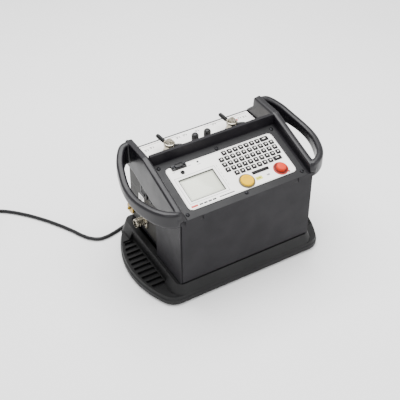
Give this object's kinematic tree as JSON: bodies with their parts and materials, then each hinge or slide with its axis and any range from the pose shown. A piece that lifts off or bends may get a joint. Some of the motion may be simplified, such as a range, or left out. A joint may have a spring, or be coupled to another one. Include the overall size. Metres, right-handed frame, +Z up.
{
  "type": "high-current low-resistance ohmmeter",
  "caption": "Portable bench resistance meter with a sloping keyboard panel, bow handles, rear screw terminals and a mains lead on a wide foot tray.",
  "frame": {"origin": "middle of the foot tray at the surface that the rubber feet stand on", "axes": "+X to the right of someone facing the control panel, +Y to the back, +Z up"},
  "size_m": [0.6992, 0.4803, 0.2645],
  "materials": {
    "tray": "moulded, fine grain",
    "case": "moulded, fine grain",
    "handle": "moulded, fine grain",
    "panel": "satin powder coat",
    "label": "printed film",
    "lcd": "clear window over a grey-green display",
    "circuit": "solder mask",
    "keys": "satin",
    "yellow_button": "satin",
    "button_ring": "satin",
    "red_button": "satin",
    "red_ring": "satin",
    "black_plastic": "satin",
    "led": "clear",
    "side_plate": "satin",
    "brass": "machined",
    "nickel": "nickel plated",
    "cord_plastic": "moulded",
    "cord": "extruded sheath",
    "transformer": "varnished",
    "aluminium": "extruded",
    "copper": null,
    "foot_rubber": "moulded",
    "screws": "black oxide",
    "terminal_plastic": "moulded"
  },
  "bodies": {
    "root": {"aux_jack": "black_plastic", "base_tray": "tray", "body_case": "case", "bus_bar_c1": "copper", "bus_bar_c2": "copper", "c1_insulator": "terminal_plastic", "c1_stud": "nickel", "c2_insulator": "terminal_plastic", "c2_stud": "nickel", "connection_plate": "label", "control_board": "circuit", "cord_coil": "cord", "earth_stud": "brass", "fan_frame": "black_plastic", "fuse_holder": "black_plastic", "handle_left": "handle", "handle_right": "handle", "heat_sink": "aluminium", "keypad_mat": "keys", "lcd_module": "circuit", "lcd_window": "lcd", "mains_connector": "cord_plastic", "mains_cord": "cord", "mains_inlet": "black_plastic", "mains_plug": "cord_plastic", "mains_switch_frame": "black_plastic", "p1_post": "nickel", "p2_post": "nickel", "panel_label": "label", "panel_plate": "panel", "panel_screw_1": "screws", "panel_screw_2": "screws", "panel_screw_3": "screws", "panel_screw_4": "screws", "panel_screw_5": "screws", "panel_screw_6": "screws", "power_board": "circuit", "power_transformer": "transformer", "remote_connector": "nickel", "rubber_foot_1": "foot_rubber", "rubber_foot_2": "foot_rubber", "rubber_foot_3": "foot_rubber", "rubber_foot_4": "foot_rubber", "serial_port": "black_plastic", "side_panel_plate": "side_plate", "status_led": "led", "stop_bezel": "red_ring", "test_bezel": "button_ring", "top_frame": "case"},
    "test_button": {"test_button": "yellow_button"},
    "stop_button": {"stop_button": "red_button"},
    "c1_lever": {"c1_lever": "terminal_plastic"},
    "c2_lever": {"c2_lever": "terminal_plastic"},
    "p1_cap": {"p1_cap": "terminal_plastic"},
    "p2_cap": {"p2_cap": "terminal_plastic"},
    "mains_rocker": {"mains_switch_rocker": "black_plastic"},
    "fuse_cap": {"fuse_cap": "black_plastic"},
    "earth_knob": {"earth_knob": "brass"},
    "fan_rotor": {"fan_rotor": "black_plastic"}
  },
  "joints": [
    {"name": "test_button_press", "type": "slide", "parent": "root", "child": "test_button", "axis": [0, 0.2823, -0.9593], "range_m": [0, 0.0025], "stiffness_N_per_m": 800, "springref_m": -0.0006},
    {"name": "stop_button_press", "type": "slide", "parent": "root", "child": "stop_button", "axis": [0, 0.2823, -0.9593], "range_m": [0, 0.003], "stiffness_N_per_m": 1500, "springref_m": -0.0006},
    {"name": "c1_lever_turn", "type": "hinge", "parent": "root", "child": "c1_lever", "pos_m": [-0.0715, 0.06005, 0.23], "axis": [0, 0, 1], "range_deg": [-45, 270]},
    {"name": "c2_lever_turn", "type": "hinge", "parent": "root", "child": "c2_lever", "pos_m": [0.0715, 0.06005, 0.23], "axis": [0, 0, 1], "range_deg": [-45, 270]},
    {"name": "p1_cap_turn", "type": "hinge", "parent": "root", "child": "p1_cap", "pos_m": [-0.014, 0.06005, 0.235], "axis": [0, 0, 1], "range_deg": [0, 540]},
    {"name": "p2_cap_turn", "type": "hinge", "parent": "root", "child": "p2_cap", "pos_m": [0.014, 0.06005, 0.235], "axis": [0, 0, 1], "range_deg": [0, 540]},
    {"name": "mains_rocker_tilt", "type": "hinge", "parent": "root", "child": "mains_rocker", "pos_m": [-0.137, 0.041, 0.167], "axis": [0, -1, 0], "range_deg": [0, 16]},
    {"name": "fuse_cap_turn", "type": "hinge", "parent": "root", "child": "fuse_cap", "pos_m": [-0.137, -0.003, 0.175], "axis": [-1, 0, 0], "range_deg": [0, 90]},
    {"name": "earth_knob_turn", "type": "hinge", "parent": "root", "child": "earth_knob", "pos_m": [-0.137, 0.08, 0.099], "axis": [-1, 0, 0], "range_deg": [0, 540]},
    {"name": "fan_spin", "type": "hinge", "parent": "root", "child": "fan_rotor", "pos_m": [0.13, 0.046, 0.118], "axis": [1, 0, 0], "continuous": true}
  ]
}
